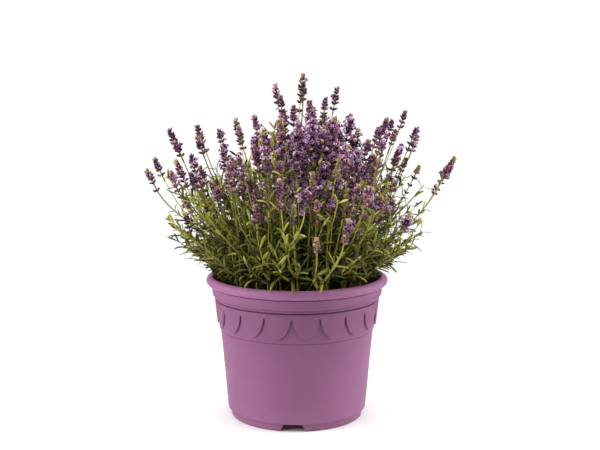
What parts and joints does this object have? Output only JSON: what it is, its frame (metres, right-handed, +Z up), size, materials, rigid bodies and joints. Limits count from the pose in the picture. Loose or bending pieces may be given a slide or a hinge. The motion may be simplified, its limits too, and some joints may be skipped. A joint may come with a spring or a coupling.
{
  "type": "potted lavender",
  "caption": "Potted lavender: a flowering lavender bush growing in soil in a round tapered plastic nursery pot with a rolled rim.",
  "frame": {"origin": "on the pot's axis, at the surface the pot stands on", "axes": "+Z up along the pot's axis, -Y towards the front of the pot, +X to the right as seen from the front"},
  "size_m": [0.3965, 0.3637, 0.434],
  "materials": {
    "pot_plastic": "satin moulded plastic, mauve",
    "potting_soil": null,
    "lavender_green": "matte grey-green leaves and square green stems, woody at the soil",
    "lavender_flower": "velvety purple calyces with lilac petals"
  },
  "bodies": {
    "root": {"pot": "pot_plastic", "soil": "potting_soil", "branch_01": "lavender_green", "branch_02": "lavender_green", "branch_03": "lavender_green", "branch_04": "lavender_green", "branch_05": "lavender_green", "branch_06": "lavender_green", "branch_07": "lavender_green", "branch_08": "lavender_green", "branch_09": "lavender_green", "branch_10": "lavender_green", "branch_11": "lavender_green", "branch_12": "lavender_green", "branch_13": "lavender_green", "branch_14": "lavender_green", "branch_15": "lavender_green", "branch_16": "lavender_green", "branch_17": "lavender_green", "branch_18": "lavender_green", "branch_19": "lavender_green", "flower_spike_01a": "lavender_flower", "flower_spike_01b": "lavender_flower", "flower_spike_02a": "lavender_flower", "flower_spike_02b": "lavender_flower", "flower_spike_03a": "lavender_flower", "flower_spike_03b": "lavender_flower", "flower_spike_04a": "lavender_flower", "flower_spike_04b": "lavender_flower", "flower_spike_05a": "lavender_flower", "flower_spike_05b": "lavender_flower", "flower_spike_06a": "lavender_flower", "flower_spike_06b": "lavender_flower", "flower_spike_07a": "lavender_flower", "flower_spike_07b": "lavender_flower", "flower_spike_08a": "lavender_flower", "flower_spike_08b": "lavender_flower", "flower_spike_09a": "lavender_flower", "flower_spike_09b": "lavender_flower", "flower_spike_10a": "lavender_flower", "flower_spike_10b": "lavender_flower", "flower_spike_11a": "lavender_flower", "flower_spike_11b": "lavender_flower", "flower_spike_12a": "lavender_flower", "flower_spike_12b": "lavender_flower", "flower_spike_13a": "lavender_flower", "flower_spike_13b": "lavender_flower", "flower_spike_14a": "lavender_flower", "flower_spike_14b": "lavender_flower", "flower_spike_15a": "lavender_flower", "flower_spike_15b": "lavender_flower", "flower_spike_16a": "lavender_flower", "flower_spike_16b": "lavender_flower", "flower_spike_17a": "lavender_flower", "flower_spike_17b": "lavender_flower", "flower_spike_18a": "lavender_flower", "flower_spike_18b": "lavender_flower", "flower_spike_19a": "lavender_flower", "flower_spike_19b": "lavender_flower"}
  },
  "joints": []
}
